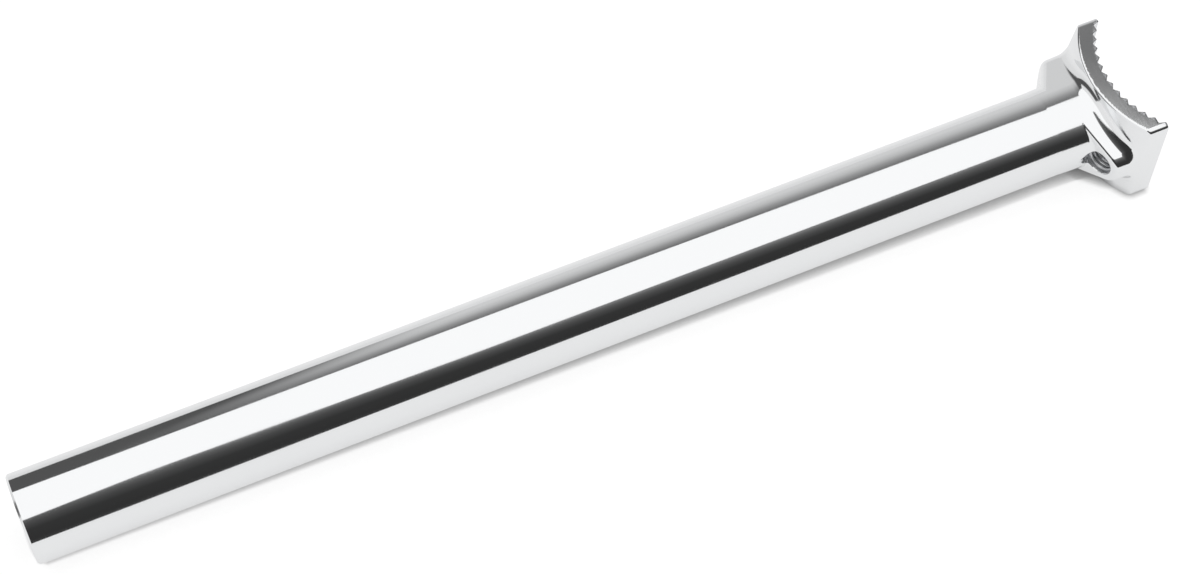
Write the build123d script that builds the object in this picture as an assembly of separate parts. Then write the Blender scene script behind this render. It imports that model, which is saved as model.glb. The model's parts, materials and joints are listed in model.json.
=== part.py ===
"""Forged one-piece seatpost with a serrated, concave saddle cradle.

A plain round post carries a head with a curved cradle plate. The saddle's own rounded, serrated
foot sits in the cradle and one bolt, screwed into a boss behind the neck, clamps it at any tilt.
The post is drawn upright, with its lower end at Z = 0 and the bolt boss towards +X, and is laid
on its side at the end, the way it comes to rest on a table.
"""
import os
from math import asin, cos, degrees, radians, sin, tan

from build123d import *

# Post tube
post_diameter = 25.4
post_wall = 2.5
bore_depth = 296.0
bore_end_radius = 6.0
end_chamfer = 0.6

# Saddle cradle: its floor is the lowest line of the serrations' tips
cradle_floor_height = 325.1
cradle_radius = 29.5
cradle_width = 33.0
cradle_thickness = 5.5
serration_count = 14
serrations_per_turn = 58
serration_depth = 1.1
cradle_corner_radius = 1.8
cradle_rim_radius = 0.6

# Neck: it widens a little from the end of the ground post up to the cradle
neck_length = 20.0
neck_draft = 2.0

# Bolt boss behind the neck and the plain rib in front of it
bolt_hole_diameter = 8.0
bolt_tilt = 21.5
boss_depth = 12.1
boss_edge_radius = 0.8
mouth_chamfer = 0.5
nose_radius = 5.8
rib_reach = 15.3
rib_drop = 12.1
rib_underside_angle = 33.0
rib_edge_radius = 2.5
flank_inset = 0.15

# Blends of the forging
crease_radius = 1.5
flare_radius = 4.0

post_radius = post_diameter / 2
pivot_height = cradle_floor_height + cradle_radius
root_radius = cradle_radius + serration_depth
underside_radius = cradle_radius + cradle_thickness
serration_pitch = 360 / serrations_per_turn
half_span = serration_count * serration_pitch / 2
post_length = cradle_floor_height - neck_length
neck_height = pivot_height - post_length


def cradle_point(radius, angle):
    """Point in the side profile at a radius from the saddle's pivot and an angle from the post."""
    return (radius * sin(radians(angle)), pivot_height - radius * cos(radians(angle)))


def underside_plane(x, z, angle):
    """Plane across the post at a point of the side profile, rising outwards by an angle."""
    return Plane((x, 0, z), x_dir=(0, 1, 0), z_dir=(-sin(radians(angle)), 0, cos(radians(angle))))


def upright_rib(reach, underside, edge_radius):
    """Rib with flanks that run from just inside the neck's skin to a round nose, cut off below by a plane.

    It has the neck's draft, carried on down into the post to below the plane.
    """
    overlap = neck_length / 2
    inset = overlap * tan(radians(neck_draft))
    inner, outer = post_radius - flank_inset - inset, nose_radius - inset
    taper = asin((inner - outer) / reach)
    post_x, post_y = inner * sin(taper), inner * cos(taper)
    nose_x, nose_y = reach + outer * sin(taper), outer * cos(taper)
    flanks = make_face(
        Polyline((post_x, post_y), (nose_x, nose_y), (nose_x, -nose_y), (post_x, -post_y), close=True)
    )
    plan = Circle(inner) + flanks + Pos(reach, 0) * Circle(outer)
    rib = extrude(plan, neck_height + overlap, taper=-neck_draft)
    rib = split(Pos(0, 0, post_length - overlap) * rib, bisect_by=Plane.YZ, keep=Keep.TOP)
    rib = split(rib, bisect_by=underside, keep=Keep.TOP)
    lower_edges = rib.faces().sort_by(Axis.Z)[0].edges()
    outer_edges = lower_edges.sort_by(Axis.X)[1:]
    return fillet(outer_edges, edge_radius)


def serrated_envelope():
    """Block that bounds the head: upright ends and sides under a top of straight-sided serrations."""
    half_length, end_height = cradle_point(root_radius, half_span)
    starts = [serration_pitch * i - half_span for i in range(serration_count)]
    roots = [cradle_point(root_radius, start) for start in starts]
    tips = [cradle_point(cradle_radius, start + serration_pitch / 2) for start in starts]
    teeth = [point for tooth in zip(roots, tips) for point in tooth]
    profile = Polyline(*teeth, (half_length, end_height), (half_length, 0), (-half_length, 0), close=True)
    block = extrude(Plane.XZ * make_face(profile), cradle_width / 2, both=True)
    return fillet(block.edges().filter_by(Axis.Z), cradle_corner_radius)


# The post and its neck with a rib on either side, blended under the ribs
mouth_x, mouth_z = cradle_point(cradle_radius + boss_depth, bolt_tilt)
boss_face = underside_plane(mouth_x, mouth_z, bolt_tilt)
rib_face = underside_plane(rib_reach, cradle_floor_height - rib_drop, rib_underside_angle)
neck_top_radius = post_radius + neck_height * tan(radians(neck_draft))
drafted_neck = Cone(
    post_radius, neck_top_radius, neck_height, align=(Align.CENTER, Align.CENTER, Align.MIN)
)
column = extrude(Circle(post_radius), post_length) + Pos(0, 0, post_length) * drafted_neck
boss = upright_rib(mouth_x, boss_face, boss_edge_radius)
front_rib = Rot(0, 0, 180) * upright_rib(rib_reach, rib_face, rib_edge_radius)
neck = column + boss + front_rib
joints = new_edges(column, boss, front_rib, combined=neck)
neck = fillet(joints.filter_by(GeomType.ELLIPSE), crease_radius)

# The neck meets an oversize curved slab with a flare all round
pivot_line = Plane.XZ * Pos(0, pivot_height)
neck_limit = extrude(pivot_line * Circle((root_radius + underside_radius) / 2), cradle_width, both=True)
neck = neck - neck_limit
slab_ring = pivot_line * (Circle(underside_radius) - Circle(cradle_radius - serration_depth))
slab = extrude(slab_ring, cradle_width, both=True)
slab = split(slab, bisect_by=Plane.XY.offset(pivot_height - cradle_radius / 2), keep=Keep.BOTTOM)
flared = slab + neck
flared = fillet(new_edges(slab, neck, combined=flared), flare_radius)

# The cradle plate is cut from the slab, and its lower rim is rounded
envelope = serrated_envelope()
seatpost = flared & envelope
seatpost = fillet(new_edges(flared, envelope, combined=seatpost), cradle_rim_radius)

# Bolt hole through the cradle and the boss, opened out a little at its mouth
hole_radius = bolt_hole_diameter / 2
drill = Cylinder(hole_radius, 2 * cradle_radius)
countersink = Cone(
    hole_radius + mouth_chamfer, hole_radius, mouth_chamfer, align=(Align.CENTER, Align.CENTER, Align.MIN)
)
seatpost = seatpost - boss_face * drill - boss_face * countersink

# Blind bore of the post and its lower rim
bore = extrude(Circle(post_radius - post_wall), bore_depth)
bore = fillet(bore.faces().sort_by(Axis.Z)[-1].edges(), bore_end_radius)
seatpost = seatpost - bore
seatpost = chamfer(seatpost.faces().sort_by(Axis.Z)[0].edges(), end_chamfer)

# Laid on its side: the lower end's rim and one side of the cradle touch the table
rest_tilt = asin((cradle_width / 2 - post_radius) / (pivot_height - underside_radius))
rim_height = post_radius * cos(rest_tilt) - end_chamfer * sin(rest_tilt)
on_side = Plane((0, 0, 0), x_dir=(0, -1, 0), z_dir=(1, 0, 0)) * seatpost
lying = Rot(0, -degrees(rest_tilt), 0) * on_side
middle = lying.bounding_box().center()
lying = Pos(-middle.X, -middle.Y, rim_height) * lying

os.makedirs("parts", exist_ok=True)
export_step(lying, "parts/seatpost.step")
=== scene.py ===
"""A polished one-piece aluminium bicycle seatpost, lying on a white table under a studio light tent."""
import json
from math import asin, cos, pi, radians, sin, tan

import bpy
import numpy as np
from mathutils import Matrix, Vector


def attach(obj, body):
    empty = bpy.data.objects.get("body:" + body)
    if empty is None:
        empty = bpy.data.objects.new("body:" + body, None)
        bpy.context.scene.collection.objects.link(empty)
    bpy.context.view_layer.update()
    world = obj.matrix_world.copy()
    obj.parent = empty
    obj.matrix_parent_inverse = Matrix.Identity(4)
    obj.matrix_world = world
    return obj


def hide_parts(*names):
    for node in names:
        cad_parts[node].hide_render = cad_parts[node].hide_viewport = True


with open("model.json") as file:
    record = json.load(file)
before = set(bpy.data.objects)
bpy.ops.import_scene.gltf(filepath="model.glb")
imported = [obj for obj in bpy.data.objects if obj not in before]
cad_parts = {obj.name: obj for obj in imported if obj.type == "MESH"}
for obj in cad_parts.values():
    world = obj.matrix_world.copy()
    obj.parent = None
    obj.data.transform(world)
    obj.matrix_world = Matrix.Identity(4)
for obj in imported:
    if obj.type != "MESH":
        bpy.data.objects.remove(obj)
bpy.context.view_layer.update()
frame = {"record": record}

# Seatpost forging
# The whole post is one forging of 6061 aluminium: tube, neck, bolt boss, plain rib and serrated cradle.
# It is ground and buffed to a mirror outside; the bore is left as drawn and the serrations as cut.
mounts = {mount["name"]: mount for mount in frame["record"]["mounts"]}
post_radius = mounts["post"]["dims"]["r_mm"]
bore_radius = mounts["tube_bore"]["dims"]["r_mm"]
hole_radius = mounts["saddle_bolt"]["dims"]["r_mm"]
bore_depth = 296.0
bore_end_radius = 6.0
end_chamfer = 0.6
cradle_floor_height = 325.1
cradle_radius = 29.5
cradle_width = 33.0
cradle_thickness = 5.5
underside_draft = radians(7.0)
serration_count = 14
serration_pitch = radians(360 / 58)
serration_depth = 1.1
serration_sharpness = 0.97
cradle_corner_radius = 1.8
cradle_rim_radius = 0.6
broken_edge_radius = 0.25
neck_length = 20.0
neck_draft = radians(2.0)
bolt_tilt = radians(21.5)
boss_depth = 12.1
boss_edge_radius = 0.8
mouth_edge_radius = 0.5
nose_radius = 5.8
rib_reach = 15.3
rib_drop = 12.1
rib_underside_angle = radians(33.0)
rib_edge_radius = 2.5
crease_radius = 2.0
flare_radius = 4.0
tiny = 1e-9

post_length = cradle_floor_height - neck_length
pivot_height = cradle_floor_height + cradle_radius
root_radius = cradle_radius + serration_depth
underside_radius = cradle_radius + cradle_thickness
half_length = root_radius * sin(serration_count * serration_pitch / 2)
mouth_distance = cradle_radius + boss_depth
mouth_x = mouth_distance * sin(bolt_tilt)
mouth_z = pivot_height - mouth_distance * cos(bolt_tilt)

# Upright axes of the post in the lying frame, from its mounts: X to the bolt boss, Z up the post
bore_mount = mounts["tube_bore"]
post_up = -np.array(bore_mount["axis"])
lower_end = 1000 * np.array(bore_mount["pos_m"]) - post_up * bore_mount["dims"]["length_mm"] / 2
bolt_axis = np.array(mounts["saddle_bolt"]["axis"])
boss_side = post_up * (bolt_axis @ post_up) - bolt_axis
boss_side = boss_side / np.linalg.norm(boss_side)
upright_axes = np.array([boss_side, np.cross(post_up, boss_side), post_up])


def lying(points):
    """Points of the upright post in millimetres, carried to the lying frame in metres."""
    return (lower_end + points @ upright_axes) / 1000


def negated(field):
    """The outside of a solid: distance and gradient with their signs turned."""
    distance, gradient = field
    return -distance, tuple(-part for part in gradient)


def rolled_union(a, b, radius):
    """Union of two solids with a fillet in the inner corner, as a ball of that radius would roll it.

    Each solid is a distance and its unit gradient. With c the cosine between the two gradients, the fillet
    reaches k = radius (1 - c) from either face, and the distance is
    max(k, min(a, b)) less the length of (max(k - a, 0), max(k - b, 0)).
    """
    (distance_a, gradient_a), (distance_b, gradient_b) = a, b
    cosine = sum(part_a * part_b for part_a, part_b in zip(gradient_a, gradient_b))
    reach = radius * (1 - cosine)
    near_a = np.maximum(reach - distance_a, 0)
    near_b = np.maximum(reach - distance_b, 0)
    length = np.hypot(near_a, near_b)
    distance = np.maximum(reach, np.minimum(distance_a, distance_b)) - length
    a_nearer = distance_a < distance_b
    share_a = np.where(length > tiny, near_a, a_nearer)
    share_b = np.where(length > tiny, near_b, ~a_nearer)
    gradient = [share_a * part_a + share_b * part_b for part_a, part_b in zip(gradient_a, gradient_b)]
    steepness = np.sqrt(sum(part * part for part in gradient)) + tiny
    return distance, tuple(part / steepness for part in gradient)


def rolled_intersection(a, b, radius):
    """What two solids share, with the outer corner rounded: the union of their outsides, turned back."""
    return negated(rolled_union(negated(a), negated(b), radius))


def drop_walls(x, y, z, side, reach):
    """Upright walls of a rib, a drop in plan: flanks tangent to the neck's circle and to a round nose."""
    taper = asin((post_radius - nose_radius) / reach)
    outward, wide = side * x, np.abs(y)
    from_axis = np.hypot(outward, wide) + tiny
    from_nose = np.hypot(outward - reach, wide) + tiny
    along_flank = outward * cos(taper) - wide * sin(taper)
    zones = [along_flank < 0, along_flank > reach * cos(taper)]
    flank = outward * sin(taper) + wide * cos(taper)
    distance = np.select(zones, [from_axis - post_radius, from_nose - nose_radius], flank - post_radius)
    gradient_x = np.select(zones, [outward / from_axis, (outward - reach) / from_nose], sin(taper))
    gradient_y = np.select(zones, [wide / from_axis, wide / from_nose], cos(taper))
    drafted = distance - (z - post_length) * tan(neck_draft)
    return drafted, (side * gradient_x, np.sign(y) * gradient_y, 0.0)


def with_rib(column, x, y, z, side, reach, underside_z, underside_angle, edge_radius):
    """The neck with a rib joined on: the drop's walls, cut off below by a rising plane, creased to the neck.

    The crease's radius is at most half of the rib's overhang, so it dies out where the flanks turn tangent.
    """
    walls = drop_walls(x, y, z, side, reach)
    underside = (
        (side * x - reach) * sin(underside_angle) - (z - underside_z) * cos(underside_angle),
        (side * sin(underside_angle), 0.0, -cos(underside_angle)),
    )
    distance, gradient = rolled_intersection(walls, underside, edge_radius)
    crease = np.clip((column[0] - walls[0]) / 2, 0, crease_radius)
    return rolled_union(column, (np.maximum(distance, -side * x), gradient), crease)


def serrations(x, z, from_pivot):
    """Solid under the cradle's teeth, which run across the post.

    Their distance from the saddle's pivot swings between tip and root as a triangle wave of the angle with
    rounded turns, asin(k cos p) / asin(k).
    """
    angle = np.arctan2(x, pivot_height - z)
    waves_per_radian = 2 * pi / serration_pitch
    swing = serration_depth / 2 / asin(serration_sharpness)
    wave = serration_sharpness * np.cos(angle * waves_per_radian)
    bend = -serration_sharpness * np.sin(angle * waves_per_radian) / np.sqrt(1 - wave**2)
    surface = cradle_radius + serration_depth / 2 + swing * np.arcsin(wave)
    incline = swing * bend * waves_per_radian / from_pivot
    steepness = np.sqrt(1 + incline**2)
    gradient_x = (incline * np.cos(angle) - np.sin(angle)) / steepness
    gradient_z = (incline * np.sin(angle) + np.cos(angle)) / steepness
    return (surface - from_pivot) / steepness, (gradient_x, 0.0, gradient_z)


def plate_sides(x, y):
    """Upright ends and sides of the cradle plate: a rectangle in plan with rounded corners."""
    over_x = np.abs(x) - half_length + cradle_corner_radius
    over_y = np.abs(y) - cradle_width / 2 + cradle_corner_radius
    out_x, out_y = np.maximum(over_x, 0), np.maximum(over_y, 0)
    from_corner = np.hypot(out_x, out_y)
    x_first = over_x > over_y
    share_x = np.where(from_corner > tiny, out_x / (from_corner + tiny), x_first)
    share_y = np.where(from_corner > tiny, out_y / (from_corner + tiny), ~x_first)
    distance = from_corner + np.minimum(np.maximum(over_x, over_y), 0) - cradle_corner_radius
    return distance, (np.sign(x) * share_x, np.sign(y) * share_y, 0.0)


def seatpost_distance(points):
    """Distance of upright points from the post's skin, negative in the metal.

    The tube and two ribs are joined by creases and flared into a curved slab. The slab is trimmed to the
    plate's outline and the serrations, and the bolt hole and the bore are cut away.
    """
    x, y, z = np.moveaxis(points, -1, 0)
    from_axis = np.hypot(x, y) + tiny
    radial = (x / from_axis, y / from_axis, 0.0)
    drafted_radius = post_radius + np.maximum(z - post_length, 0) * tan(neck_draft)
    column = (from_axis - drafted_radius, radial)
    neck = with_rib(column, x, y, z, 1, mouth_x, mouth_z, bolt_tilt, boss_edge_radius)
    rib_z = cradle_floor_height - rib_drop
    neck = with_rib(neck, x, y, z, -1, rib_reach, rib_z, rib_underside_angle, rib_edge_radius)
    from_pivot = np.hypot(x, z - pivot_height) + tiny
    thickening = (cradle_width / 2 - np.abs(y)) * sin(underside_draft)
    slab = (
        (from_pivot - underside_radius) * cos(underside_draft) - thickening,
        (x / from_pivot * cos(underside_draft), np.sign(y) * sin(underside_draft),
         (z - pivot_height) / from_pivot * cos(underside_draft)),
    )
    flared = rolled_union(neck, slab, flare_radius)
    plate = rolled_intersection(flared, plate_sides(x, y), cradle_rim_radius)
    cradle = rolled_intersection(plate, serrations(x, z, from_pivot), broken_edge_radius)
    along_bolt = x * sin(bolt_tilt) - (z - pivot_height) * cos(bolt_tilt)
    across = (x - along_bolt * sin(bolt_tilt), y, z - pivot_height + along_bolt * cos(bolt_tilt))
    from_bolt = np.sqrt(sum(part * part for part in across)) + tiny
    bolt_hole = (from_bolt - hole_radius, tuple(part / from_bolt for part in across))
    edge_radius = np.where(along_bolt > underside_radius, mouth_edge_radius, broken_edge_radius)
    drilled, _ = rolled_intersection(cradle, negated(bolt_hole), edge_radius)
    bore_wall = (from_axis - bore_radius, radial)
    bore, _ = rolled_intersection(bore_wall, (z - bore_depth, (0.0, 0.0, 1.0)), bore_end_radius)
    return np.maximum(drilled, -bore)


def slope(points, step=0.002):
    """Unit gradient of the post's distance at some points, from central differences."""
    rises = [
        seatpost_distance(points + step * axis) - seatpost_distance(points - step * axis)
        for axis in np.eye(3)]
    gradient = np.stack(rises, -1) / (2 * step)
    return gradient / (np.linalg.norm(gradient, axis=-1, keepdims=True) + tiny)


def skin(levels):
    """Quad mesh of the head's skin on a box grid with given levels for each axis, open at the lowest level.

    Each grid edge that the skin crosses gives a point, and a quad between the four cells round it. A cell's
    vertex lies where the planes through its points meet best (least squares about their mean), and then
    steps onto the skin. Also returns the numbers of the vertices along the open edge.
    """
    grid = np.stack(np.meshgrid(*levels, indexing="ij"), -1)
    distance = seatpost_distance(grid)
    inside = distance < 0
    points, cells = [], []
    for axis in range(3):
        step = np.eye(3, dtype=int)[axis]
        second, third = np.eye(3, dtype=int)[(axis + 1) % 3], np.eye(3, dtype=int)[(axis + 2) % 3]
        near, far = [slice(None)] * 3, [slice(None)] * 3
        near[axis], far[axis] = slice(None, -1), slice(1, None)
        start = np.argwhere(inside[tuple(near)] != inside[tuple(far)])
        end = start + step
        around = np.array([-second - third, -third, 0 * step, -second])
        quad = start[:, None, :] + around
        in_grid = (quad >= 0).all(axis=(1, 2))
        start, end, quad = start[in_grid], end[in_grid], quad[in_grid]
        before, after = distance[tuple(start.T)], distance[tuple(end.T)]
        share = (before / (before - after))[:, None]
        points.append(grid[tuple(start.T)] * (1 - share) + grid[tuple(end.T)] * share)
        quad = np.where((before < 0)[:, None, None], quad, quad[:, ::-1])
        cells.append(np.ravel_multi_index(tuple(np.moveaxis(quad, -1, 0)), distance.shape))
    points, cells = np.concatenate(points), np.concatenate(cells)
    used, quads = np.unique(cells, return_inverse=True)
    quads = quads.reshape(-1, 4)
    corner = quads.ravel()

    def cell_sum(values):
        """Sum over each used cell of a value that every quad gives to each of its four cells."""
        return np.bincount(corner, values.ravel(), len(used))

    places, normals = np.repeat(points, 4, axis=0), np.repeat(slope(points), 4, axis=0)
    count = cell_sum(np.ones(len(corner)))
    mean = np.stack([cell_sum(places[:, i]) / count for i in range(3)], -1)
    offset = (normals * (places - mean[corner])).sum(-1)
    spread = np.stack([[cell_sum(normals[:, i] * normals[:, j]) for j in range(3)] for i in range(3)])
    pull = np.stack([cell_sum(normals[:, i] * offset) for i in range(3)], -1)
    softness = 0.01
    farthest_shift = 0.3
    closing_steps = 3
    shift = np.linalg.solve(np.moveaxis(spread, -1, 0) + softness * np.eye(3), pull[..., None])[..., 0]
    vertices = mean + np.clip(shift, -farthest_shift, farthest_shift)
    for _ in range(closing_steps):
        vertices = vertices - seatpost_distance(vertices)[:, None] * slope(vertices)
    return vertices, quads, np.flatnonzero(used % len(levels[2]) == 0)


def level_run(bounds, steps):
    """Grid levels along one axis: between each two bounds, even steps of about the size given for them."""
    runs = [np.linspace(low, high, max(round((high - low) / step), 1), endpoint=False)
            for low, high, step in zip(bounds, bounds[1:], steps)]
    return np.append(np.concatenate(runs), bounds[-1])


# Levels are close round the boss and at the plate's sides, and far apart on the plain tube
grid_step = 0.36
boss_step = 0.24
rim_step = 0.16
bore_end_step = 1.5
tube_step = 8.0
grid_margin = 0.47
rim_band = 1.0
neck_margin = 1.0
fine_half_width = 7.0
fine_height = 14.0
bore_end = bore_depth - bore_end_radius
cradle_top = pivot_height - root_radius * cos(serration_count * serration_pitch / 2)
length_end = half_length + grid_margin
width_end = cradle_width / 2 + grid_margin
rim_start = cradle_width / 2 - rim_band
length_levels = level_run([-length_end, mouth_x - fine_half_width, length_end], [grid_step, boss_step])
width_levels = level_run(
    [-width_end, -rim_start, -fine_half_width, fine_half_width, rim_start, width_end],
    [rim_step, grid_step, boss_step, grid_step, rim_step])
height_levels = level_run(
    [bore_end - 2 * tube_step, bore_end, post_length - neck_margin, cradle_floor_height - fine_height,
     cradle_floor_height, cradle_top + grid_margin],
    [tube_step, bore_end_step, grid_step, boss_step, grid_step])
vertices, quads, open_edge = skin([length_levels, width_levels, height_levels])


def wall_below(ring, heights, radii):
    """Wall of revolution below a ring of vertices, through circles of given heights and radii.

    The ring is in order of angle, and each circle has its angles. A strip that goes down by d and out by e
    has a normal that goes out by d and up by e, made unit long. Returns the circles' points, the last
    circle's vertex numbers, the quads and their corner normals.
    """
    angle = np.arctan2(vertices[ring, 1], vertices[ring, 0])
    around = np.stack([np.cos(angle), np.sin(angle)], -1)
    circle_heights = np.broadcast_to(heights[1:, None, None], (len(heights) - 1, len(ring), 1))
    circles = np.concatenate([radii[1:, None, None] * around, circle_heights], -1)
    numbers = np.vstack([ring, len(vertices) + np.arange(circles[..., 0].size).reshape(circles.shape[:2])])
    beside = np.roll(numbers, -1, axis=1)
    wall = np.stack([numbers[:-1], numbers[1:], beside[1:], beside[:-1]], -1)
    down, out = -np.diff(heights), np.diff(radii)
    around_next = np.roll(around, -1, axis=0)
    corner_around = np.stack([around, around, around_next, around_next], 1)
    upward = np.broadcast_to(out[:, None, None, None], (*wall.shape, 1))
    normals = np.concatenate([down[:, None, None, None] * corner_around, upward], -1)
    normals = normals / np.linalg.norm(normals, axis=-1, keepdims=True)
    return circles.reshape(-1, 3), numbers[-1], wall.reshape(-1, 4), normals.reshape(-1, 4, 3)


# Each corner of the head takes the skin's own slope
head_normals = slope(vertices)[quads]

# Below the head the tube is turned: two walls, their chamfers, and a flat ring between them
ring_count = 12
ring_angle = np.arctan2(vertices[open_edge, 1], vertices[open_edge, 0])
is_outer = np.hypot(*vertices[open_edge, :2].T) > (post_radius + bore_radius) / 2
outer_ring, inner_ring = [
    open_edge[wall][np.argsort(ring_angle[wall])] for wall in (is_outer, ~is_outer)]
end_heights = np.append(np.linspace(bore_end - tube_step, end_chamfer, ring_count), 0)
cut_back = np.append(np.zeros(ring_count), end_chamfer)
points, outer_rim, outer_wall, outer_normals = wall_below(outer_ring, end_heights, post_radius - cut_back)
vertices = np.vstack([vertices, points])
points, inner_rim, inner_wall, inner_normals = wall_below(inner_ring, end_heights, bore_radius + cut_back)
vertices = np.vstack([vertices, points])
quads = np.vstack([quads, outer_wall, inner_wall[:, ::-1]])

# Going round the flat ring, each next vertex of a rim makes a triangle with the other rim's last vertex
outer_angle, inner_angle = [
    np.arctan2(vertices[rim, 1], vertices[rim, 0]) for rim in (outer_rim, inner_rim)]
outer_next, inner_next = np.roll(outer_rim, -1), np.roll(inner_rim, -1)
last_inner = inner_rim[np.searchsorted(inner_angle, np.roll(outer_angle, -1)) - 1]
last_outer = outer_rim[np.searchsorted(outer_angle, np.roll(inner_angle, -1)) - 1]
end_triangles = np.vstack([
    np.stack([outer_next, outer_rim, last_inner], -1), np.stack([inner_rim, inner_next, last_outer], -1)])
end_normals = np.tile([0.0, 0.0, -1.0], (end_triangles.size, 1))
corner_normals = np.vstack([
    normals.reshape(-1, 3)
    for normals in (head_normals, outer_normals, -inner_normals[:, ::-1], end_normals)])


def linear(hex_colour):
    """Linear RGBA of an sRGB hex colour: a straight line near black, a power of 2.4 above it."""
    parts = np.array([int(hex_colour[i:i + 2], 16) for i in (1, 3, 5)]) / 255
    return (*np.where(parts <= 0.04045, parts / 12.92, ((parts + 0.055) / 1.055) ** 2.4), 1.0)


def add_node(tree, kind, inputs=None, **settings):
    """Add a node; an input that is another node's output is linked, any other is set as a value."""
    node = tree.nodes.new(kind)
    for name, value in settings.items():
        setattr(node, name, value)
    for name, value in (inputs or {}).items():
        if isinstance(value, bpy.types.NodeSocket):
            tree.links.new(value, node.inputs[name])
        else:
            node.inputs[name].default_value = value
    return node


def new_material(name):
    """Empty node material; returns it with its node tree."""
    material = bpy.data.materials.new(name)
    material.use_nodes = True
    material.node_tree.nodes.clear()
    return material, material.node_tree


# Buffed 6061 aluminium: a near mirror. The eye sees crisp reflections with a faint haze that changes from
# place to place, hairlines round the tube from the wheel, and a slight unevenness of the buffed skin.
polished, tree = new_material("buffed_6061_aluminium")
place = add_node(tree, "ShaderNodeTexCoord").outputs["Object"]
# A noise pattern's values lie mostly between these two
noise_low, noise_high = 0.3, 0.7
haze_size = 0.018
least_haze, most_haze = 0.045, 0.085
haze = add_node(tree, "ShaderNodeTexNoise", {"Vector": place, "Scale": 1 / haze_size, "Detail": 3.0})
# Real wheel lines are about 0.02 mm apart; they are drawn 0.3 mm apart, as fine as the render shows
line_spacing = 0.0003
line_length = 0.012
lines_place = add_node(tree, "ShaderNodeMapping", {
    "Vector": place, "Scale": (1 / line_spacing, 1 / line_length, 1 / line_length)})
lines = add_node(tree, "ShaderNodeTexNoise", {
    "Vector": lines_place.outputs["Vector"], "Scale": 1.0, "Detail": 2.0})
haze_level = add_node(tree, "ShaderNodeMapRange", {
    "Value": haze.outputs["Fac"], "From Min": noise_low, "From Max": noise_high,
    "To Min": least_haze, "To Max": most_haze})
line_roughness = 0.03
roughness = add_node(tree, "ShaderNodeMath", {
    0: lines.outputs["Fac"], 1: line_roughness, 2: haze_level.outputs["Result"]}, operation="MULTIPLY_ADD")
wave_size = 0.016
waves = add_node(tree, "ShaderNodeTexNoise", {"Vector": place, "Scale": 1 / wave_size, "Detail": 1.0})
wave_height = 0.000006
wavy = add_node(tree, "ShaderNodeBump", {
    "Height": waves.outputs["Fac"], "Distance": wave_height, "Strength": 1.0})
line_height = 0.0000001
lined = add_node(tree, "ShaderNodeBump", {
    "Height": lines.outputs["Fac"], "Distance": line_height, "Strength": 1.0,
    "Normal": wavy.outputs["Normal"]})
shader = add_node(tree, "ShaderNodeBsdfPrincipled", {
    "Base Color": linear("#f3f4f5"), "Metallic": 1.0, "Roughness": roughness.outputs[0],
    "Normal": lined.outputs["Normal"]})
add_node(tree, "ShaderNodeOutputMaterial", {"Surface": shader.outputs["BSDF"]})

# Cut 6061 aluminium, in the serrations: bright, with fine tool marks and a soft sheen
cut, tree = new_material("cut_6061_aluminium")
place = add_node(tree, "ShaderNodeTexCoord").outputs["Object"]
tool_mark_spacing = 0.00025
marks = add_node(tree, "ShaderNodeTexNoise", {
    "Vector": place, "Scale": 1 / tool_mark_spacing, "Detail": 2.0})
least_roughness, most_roughness = 0.12, 0.22
roughness = add_node(tree, "ShaderNodeMapRange", {
    "Value": marks.outputs["Fac"], "From Min": noise_low, "From Max": noise_high,
    "To Min": least_roughness, "To Max": most_roughness})
mark_height = 0.000001
marked = add_node(tree, "ShaderNodeBump", {
    "Height": marks.outputs["Fac"], "Distance": mark_height, "Strength": 1.0})
shader = add_node(tree, "ShaderNodeBsdfPrincipled", {
    "Base Color": linear("#e9eaec"), "Metallic": 1.0, "Roughness": roughness.outputs["Result"],
    "Normal": marked.outputs["Normal"]})
add_node(tree, "ShaderNodeOutputMaterial", {"Surface": shader.outputs["BSDF"]})

# Tapped 6061 aluminium, in the bolt hole: torn a little by the tap, so dull, and its ridges read as lines
tapped, tree = new_material("tapped_6061_aluminium")
place = add_node(tree, "ShaderNodeTexCoord").outputs["Object"]
tear_spacing = 0.0004
tears = add_node(tree, "ShaderNodeTexNoise", {"Vector": place, "Scale": 1 / tear_spacing, "Detail": 2.0})
least_roughness, most_roughness = 0.36, 0.5
roughness = add_node(tree, "ShaderNodeMapRange", {
    "Value": tears.outputs["Fac"], "From Min": noise_low, "From Max": noise_high,
    "To Min": least_roughness, "To Max": most_roughness})
shader = add_node(tree, "ShaderNodeBsdfPrincipled", {
    "Base Color": linear("#dcdddf"), "Metallic": 1.0, "Roughness": roughness.outputs["Result"]})
add_node(tree, "ShaderNodeOutputMaterial", {"Surface": shader.outputs["BSDF"]})

# Drawn 6061 aluminium, in the bore: satin grey, with long scores from the mandrel along the tube
drawn, tree = new_material("drawn_6061_aluminium")
place = add_node(tree, "ShaderNodeTexCoord").outputs["Object"]
score_width = 0.0006
score_length = 0.08
scores_place = add_node(tree, "ShaderNodeMapping", {
    "Vector": place, "Scale": (1 / score_length, 1 / score_width, 1 / score_width)})
scores = add_node(tree, "ShaderNodeTexNoise", {
    "Vector": scores_place.outputs["Vector"], "Scale": 1.0, "Detail": 3.0})
least_roughness, most_roughness = 0.28, 0.48
roughness = add_node(tree, "ShaderNodeMapRange", {
    "Value": scores.outputs["Fac"], "From Min": noise_low, "From Max": noise_high,
    "To Min": least_roughness, "To Max": most_roughness})
score_height = 0.00001
scored = add_node(tree, "ShaderNodeBump", {
    "Height": scores.outputs["Fac"], "Distance": score_height, "Strength": 1.0})
shader = add_node(tree, "ShaderNodeBsdfPrincipled", {
    "Base Color": linear("#cfd1d4"), "Metallic": 1.0, "Roughness": roughness.outputs["Result"],
    "Normal": scored.outputs["Normal"]})
add_node(tree, "ShaderNodeOutputMaterial", {"Surface": shader.outputs["BSDF"]})


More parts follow.
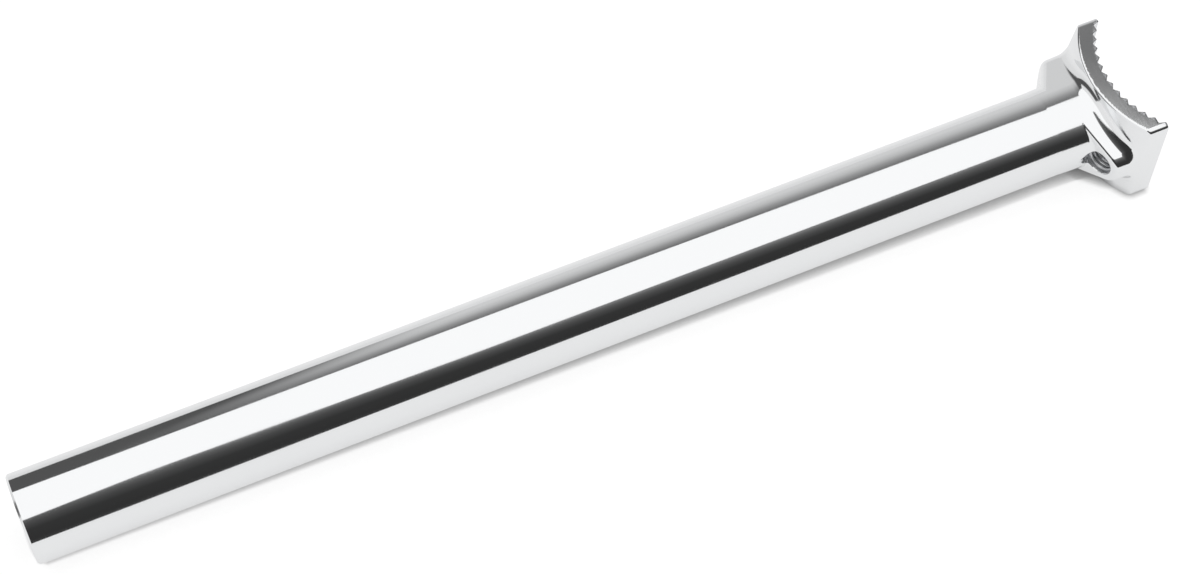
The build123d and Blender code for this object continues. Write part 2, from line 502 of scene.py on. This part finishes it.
def new_piece(name, points, faces, materials):
    """Smooth mesh object at the origin from lying points in metres and rows of vertex numbers."""
    mesh = bpy.data.meshes.new(name)
    mesh.from_pydata(points, [], faces)
    mesh.polygons.foreach_set("use_smooth", np.ones(len(mesh.polygons), bool))
    for material in materials:
        mesh.materials.append(material)
    piece = bpy.data.objects.new(name, mesh)
    bpy.context.scene.collection.objects.link(piece)
    return piece


faces = [*quads.tolist(), *end_triangles.tolist()]
seatpost = new_piece("seatpost_forging", lying(vertices), faces, [polished, cut, drawn, tapped])

# A quad's finish goes by where its centre lies: in the bore, the bolt hole or the serrations, or outside
bore_margin, bore_end_margin, wall_margin = 0.2, 0.5, 0.1
polished_number, cut_number, drawn_number, tapped_number = range(4)
x, y, z = vertices[quads].mean(axis=1).T
from_pivot = np.hypot(x, z - pivot_height)
along_bolt = x * sin(bolt_tilt) - (z - pivot_height) * cos(bolt_tilt)
from_bolt = np.sqrt(np.maximum(from_pivot**2 + y**2 - along_bolt**2, 0))
in_bore = (np.hypot(x, y) < bore_radius + bore_margin) & (z < bore_depth + bore_end_margin)
in_hole = (from_bolt < hole_radius + wall_margin) & (along_bolt < mouth_distance)
is_cut = from_pivot < root_radius + wall_margin
quad_finish = np.select(
    [in_bore, in_hole, is_cut], [drawn_number, tapped_number, cut_number], polished_number)
finish = np.append(quad_finish, np.full(len(end_triangles), polished_number))
seatpost.data.polygons.foreach_set("material_index", finish.astype(np.int32))
seatpost.data.normals_split_custom_set(corner_normals @ upright_axes)
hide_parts("seatpost")
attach(seatpost, "root")

# Saddle bolt thread
# An M8 x 1.25 thread, tapped in the boss for the bolt that holds the saddle down. Its ridge runs from the
# hole's mouth up to just under the serrations and fades out at either end, as a tap leaves it.
thread_pitch = 1.25
ridge_height = 0.68
ridge_root_half_width = 0.55
ridge_crest_half_width = 0.16
ridge_sink = 0.05
cradle_gap = 0.8
mouth_gap = 0.45
thread_start = root_radius + cradle_gap
thread_end = mouth_distance - mouth_gap
steps_per_turn = 72
fade_turns = 0.6
least_rise = 0.02


def thread_ridge(turns, profile):
    """Helical ridge: after t turns, the profile's point (h, o) is at radius wall - h, and pitch t + o along.

    The height h is scaled by a smooth step that falls to nearly nothing over the fading turns at either end.
    """
    t = np.linspace(0, turns, int(turns * steps_per_turn) + 1)[:, None]
    rise = np.clip(np.minimum(t, turns - t) / fade_turns, least_rise, 1)
    fade = rise**2 * (3 - 2 * rise)
    height, offset = np.array(profile).T[:, None, :]
    radius = hole_radius + ridge_sink - height * fade
    along = thread_start + ridge_root_half_width + thread_pitch * t + offset
    angle = 2 * pi * t + 0 * offset
    first = np.array([cos(bolt_tilt), 0, sin(bolt_tilt)])
    second = np.array([0, 1, 0])
    outward = np.array([sin(bolt_tilt), 0, -cos(bolt_tilt)])
    ring = np.cos(angle)[..., None] * first + np.sin(angle)[..., None] * second
    return np.array([0, 0, pivot_height]) + radius[..., None] * ring + along[..., None] * outward


ridge_profile = [
    (0.0, -ridge_root_half_width),
    (ridge_height / 2, -(ridge_root_half_width + ridge_crest_half_width) / 2),
    (ridge_height, -ridge_crest_half_width),
    (ridge_height, ridge_crest_half_width),
    (ridge_height / 2, (ridge_root_half_width + ridge_crest_half_width) / 2),
    (0.0, ridge_root_half_width),
]
thread_turns = (thread_end - thread_start - 2 * ridge_root_half_width) / thread_pitch
ridge = thread_ridge(thread_turns, ridge_profile)
number = np.arange(ridge[..., 0].size).reshape(ridge.shape[:2])
after = np.roll(number, -1, axis=1)
ridge_quads = np.stack([number[:-1], number[1:], after[1:], after[:-1]], -1).reshape(-1, 4)
ridge_faces = [*ridge_quads.tolist(), number[0].tolist(), number[-1, ::-1].tolist()]
thread = new_piece("saddle_bolt_thread", lying(ridge.reshape(-1, 3)), ridge_faces, [tapped])
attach(thread, "root")

# Table
# A seamless white table under the post. A light of its own, which lights nothing else, makes it white to the
# camera and pale in the metal. The post's real soft shadow stays on it, and a painted contact shadow dims
# its light.
table_half = 6.0
table_corners = np.array([[-1, -1, 0], [1, -1, 0], [1, 1, 0], [-1, 1, 0]]) * table_half
table_material, tree = new_material("white_table")
light_path = add_node(tree, "ShaderNodeLightPath")
place = add_node(tree, "ShaderNodeTexCoord").outputs["Object"]
parts = add_node(tree, "ShaderNodeSeparateXYZ", {"Vector": place})
along, across = parts.outputs["X"], parts.outputs["Y"]

# The lift is the table's own light: just white for the camera, and in the metal dimmer behind the post
white_lift = 0.78
mirror_lift, far_mirror_lift = 0.57, 0.46
dimming_start, dimming_end = 0.02, 0.12
seen = add_node(tree, "ShaderNodeMath", {
    0: light_path.outputs["Is Camera Ray"], 1: light_path.outputs["Is Transmission Ray"]},
    operation="MAXIMUM")
lift = add_node(tree, "ShaderNodeMath", {0: seen.outputs[0], 1: white_lift}, operation="MULTIPLY")
mirrored = add_node(tree, "ShaderNodeMapRange", {
    "Value": across, "From Min": dimming_start, "From Max": dimming_end,
    "To Min": mirror_lift, "To Max": far_mirror_lift})
lift = add_node(tree, "ShaderNodeMath", {
    0: light_path.outputs["Is Glossy Ray"], 1: mirrored.outputs["Result"], 2: lift.outputs[0]},
    operation="MULTIPLY_ADD")

# The contact shadow here is painted shadow: occlusion near the post takes from the lift. It widens and
# deepens towards the head, where the tube rises off the table, and it fades at the plate's foot and past the
# lower end
painted_shadow_start, painted_shadow_end = -0.17, 0.13
narrow_reach, wide_reach = 0.0028, 0.0064
shallow, deep = 1.9, 3.1
plate_foot, foot_clear, foot_share = -0.0165, -0.0095, 0.3
past_tube, tube_end, past_share = -0.17, -0.164, 0.1
painted_shadow_samples = 8
reach = add_node(tree, "ShaderNodeMapRange", {
    "Value": along, "From Min": painted_shadow_start, "From Max": painted_shadow_end,
    "To Min": narrow_reach, "To Max": wide_reach})
painted_shadow_depth = add_node(tree, "ShaderNodeMapRange", {
    "Value": along, "From Min": painted_shadow_start, "From Max": painted_shadow_end, "To Min": shallow, "To Max": deep})
at_foot = add_node(tree, "ShaderNodeMapRange", {
    "Value": across, "From Min": plate_foot, "From Max": foot_clear, "To Min": foot_share, "To Max": 1.0})
past_end = add_node(tree, "ShaderNodeMapRange", {
    "Value": along, "From Min": past_tube, "From Max": tube_end, "To Min": past_share, "To Max": 1.0})
fade = add_node(tree, "ShaderNodeMath", {
    0: at_foot.outputs["Result"], 1: past_end.outputs["Result"]}, operation="MULTIPLY")
reach = add_node(tree, "ShaderNodeMath", {
    0: reach.outputs["Result"], 1: fade.outputs[0]}, operation="MULTIPLY")
painted_shadow_depth = add_node(tree, "ShaderNodeMath", {
    0: painted_shadow_depth.outputs["Result"], 1: fade.outputs[0]}, operation="MULTIPLY")
# Painted shadow: the occlusion near the post, raised to the depth, darkens the table's glow
painted_shadow_factor = add_node(tree, "ShaderNodeAmbientOcclusion", {
    "Distance": reach.outputs[0]}, samples=painted_shadow_samples)
painted_shadow_factor = add_node(tree, "ShaderNodeMath", {
    0: painted_shadow_factor.outputs["AO"], 1: painted_shadow_depth.outputs[0]}, operation="POWER")
lift = add_node(tree, "ShaderNodeMath", {0: lift.outputs[0], 1: painted_shadow_factor.outputs[0]}, operation="MULTIPLY")
diffuse = add_node(tree, "ShaderNodeBsdfDiffuse", {"Color": linear("#a0a0a0")})
glow = add_node(tree, "ShaderNodeEmission", {"Color": linear("#ffffff"), "Strength": lift.outputs[0]})
both = add_node(tree, "ShaderNodeAddShader", {0: diffuse.outputs[0], 1: glow.outputs[0]})
add_node(tree, "ShaderNodeOutputMaterial", {"Surface": both.outputs[0]})
table = new_piece("table", table_corners, np.array([[0, 1, 2, 3]]), [table_material])

# Light tent
# A softbox hangs over the table, square to the camera, and cloth falls from its edges to the table: black on
# the camera's side, dark grey on the right, a grey backdrop behind, and on the left pale cloth over dark.
# Only the metal shows it. Its sheets are painted light and shade: each glows at the levels given to it,
# and nothing lights them.
tent_heading = radians(66.2)
tent_height = 1.0
softbox_outline = np.array([
    [-0.95, -0.52], [0.08, -0.485], [0.45, -0.655], [1.15, -0.54], [1.05, -0.2],
    [0.78, 0.3], [0.42, 0.68], [0.2, 0.775], [-0.05, 0.825], [-0.95, 0.84]])
tent_foot = np.array([
    [-1.6, -0.62], [0.08, -0.62], [0.5, -0.7], [1.9, -0.7], [1.8, -0.3],
    [1.6, 0.6], [1.0, 1.2], [0.3, 1.25], [-0.1, 1.25], [-1.6, 1.25]])
foot_height = 0.002
corner_count = len(softbox_outline)
flap_tip, flap_foot = [-0.243, -0.57, 0.267], [-0.243, -0.62, foot_height]
tent_points = np.vstack([
    np.c_[softbox_outline, np.full(corner_count, tent_height)],
    np.c_[tent_foot, np.full(corner_count, foot_height)], flap_tip, flap_foot])
tent_turn = Matrix.Rotation(tent_heading - radians(90), 4, "Z")
upper = np.arange(corner_count)
lower = upper + corner_count
sides = np.stack([upper, lower, np.roll(lower, -1), np.roll(upper, -1)], -1).tolist()
tip, foot = 2 * corner_count, 2 * corner_count + 1
# The near left side is cut in three: a white corner, a pale flap and black cloth
near_left = [[0, tip, 1], [0, corner_count, foot, tip], [1, tip, foot, corner_count + 1]]
tent_faces = [upper.tolist(), *near_left, *sides[1:]]


def tent_cloth(name, glow_by_height, left_edge=None, left_glow=None):
    """Glowing cloth, painted light and shade: glow levels by height in metres, with one level left of an
    edge where it is given.
    """
    material, tree = new_material(name)
    place = add_node(tree, "ShaderNodeTexCoord").outputs["Object"]
    parts = add_node(tree, "ShaderNodeSeparateXYZ", {"Vector": place})
    ramp = add_node(tree, "ShaderNodeValToRGB", {"Fac": parts.outputs["Z"]})
    stops = ramp.color_ramp.elements
    while len(stops) < len(glow_by_height):
        stops.new(0.5)
    for stop, (height, level) in zip(stops, glow_by_height):
        stop.position = height
        stop.color = (level, level, level, 1)
    colour = ramp.outputs["Color"]
    if left_edge is not None:
        softness = 0.12
        side = add_node(tree, "ShaderNodeMapRange", {
            "Value": parts.outputs["X"], "From Min": left_edge - softness, "From Max": left_edge + softness},
            interpolation_type="SMOOTHSTEP")
        dark = (left_glow, left_glow, left_glow, 1)
        # Sockets 6 and 7 of a mix are its two colours, and output 2 is the mixed one
        mix = add_node(
            tree, "ShaderNodeMix", {0: side.outputs["Result"], 6: dark, 7: colour}, data_type="RGBA")
        colour = mix.outputs[2]
    # The cloth's glow is painted light: its brightness is set here, not lit
    emission = add_node(tree, "ShaderNodeEmission", {"Color": colour, "Strength": 1.0})
    add_node(tree, "ShaderNodeOutputMaterial", {"Surface": emission.outputs[0]})
    return material


softbox_cloth = tent_cloth("softbox_cloth", [(0.0, 1.05), (1.0, 1.05)])
black_cloth = tent_cloth("black_cloth", [
    (0.0, 0.05), (0.1, 0.032), (0.38, 0.036), (0.5, 0.054), (0.6, 0.068), (0.79, 0.115), (1.0, 0.24)])
grey_cloth = tent_cloth("grey_cloth", [(0.0, 0.3), (0.12, 0.08), (0.9, 0.07), (1.0, 0.16)])
backdrop_cloth = tent_cloth("backdrop_cloth", [
    (0.0, 0.68), (0.24, 0.66), (0.5, 0.53), (0.73, 0.32), (0.89, 0.22), (0.95, 0.17), (1.0, 0.18)],
    left_edge=-0.45, left_glow=0.09)
pale_cloth = tent_cloth("pale_cloth", [(0.0, 0.85), (1.0, 0.8)])
end_cloth = tent_cloth("end_cloth", [
    (0.0, 0.35), (0.05, 0.1), (0.56, 0.07), (0.66, 0.7), (0.72, 0.82), (1.0, 0.8)])
tent = new_piece("light_tent", tent_points, tent_faces, [
    softbox_cloth, black_cloth, grey_cloth, backdrop_cloth, pale_cloth, end_cloth])
softbox, black, grey, backdrop, pale, end = range(6)
cloth_of_face = [
    softbox, softbox, pale, black, black, black, grey, grey, grey, backdrop, backdrop, backdrop, end]
tent.data.polygons.foreach_set("material_index", np.array(cloth_of_face, np.int32))
tent.data.polygons.foreach_set("use_smooth", np.zeros(len(tent_faces), bool))
tent.matrix_world = tent_turn
tent.visible_camera = False
tent.visible_diffuse = False
tent.visible_shadow = False

# Studio light
# One broad lamp in the softbox and an even room light. The lamp itself does not show in the metal, because
# the softbox's cloth does. The camera sees a white room past the table.
lamp_data = bpy.data.lights.new("softbox_lamp", "AREA")
lamp_data.shape = "RECTANGLE"
lamp_data.size, lamp_data.size_y = np.ptp(softbox_outline, axis=0)
lamp_watts = 6.0
lamp_data.energy = lamp_watts
lamp = bpy.data.objects.new("softbox_lamp", lamp_data)
lamp_middle = Vector((*softbox_outline.mean(axis=0), tent_height))
lamp.matrix_world = tent_turn @ Matrix.Translation(lamp_middle)
lamp.visible_glossy = False
bpy.context.scene.collection.objects.link(lamp)

room_level = 0.6
world = bpy.data.worlds.new("white_room")
bpy.context.scene.world = world
world.use_nodes = True
tree = world.node_tree
tree.nodes.clear()
light_path = add_node(tree, "ShaderNodeLightPath")
seen = add_node(tree, "ShaderNodeMath", {
    0: light_path.outputs["Is Camera Ray"], 1: light_path.outputs["Is Glossy Ray"]}, operation="MAXIMUM")
seen = add_node(tree, "ShaderNodeMath", {
    0: seen.outputs[0], 1: light_path.outputs["Is Transmission Ray"]}, operation="MAXIMUM")
strength = add_node(tree, "ShaderNodeMapRange", {
    "Value": seen.outputs[0], "To Min": room_level, "To Max": 1.0})
room = add_node(tree, "ShaderNodeBackground", {
    "Color": linear("#ffffff"), "Strength": strength.outputs["Result"]})
add_node(tree, "ShaderNodeOutputWorld", {"Surface": room.outputs[0]})

# Camera
# A 75 mm lens on a full frame, held above the table and to the side of the lower end of the post.
camera_place = Vector((-0.150756, -0.3178, 0.61132))
camera_heading = radians(64.617)
camera_pitch = radians(-59.162)
camera_roll = radians(1.823)
camera_data = bpy.data.cameras.new("camera")
camera_data.lens = 75.0
camera_data.sensor_width = 36.0
camera_data.sensor_fit = "HORIZONTAL"
camera = bpy.data.objects.new("camera", camera_data)
camera.matrix_world = (
    Matrix.Translation(camera_place)
    @ Matrix.Rotation(camera_heading - radians(90), 4, "Z")
    @ Matrix.Rotation(camera_pitch + radians(90), 4, "X")
    @ Matrix.Rotation(camera_roll, 4, "Z")
)
bpy.context.scene.collection.objects.link(camera)
bpy.context.scene.camera = camera
bpy.context.scene.view_settings.view_transform = "Standard"
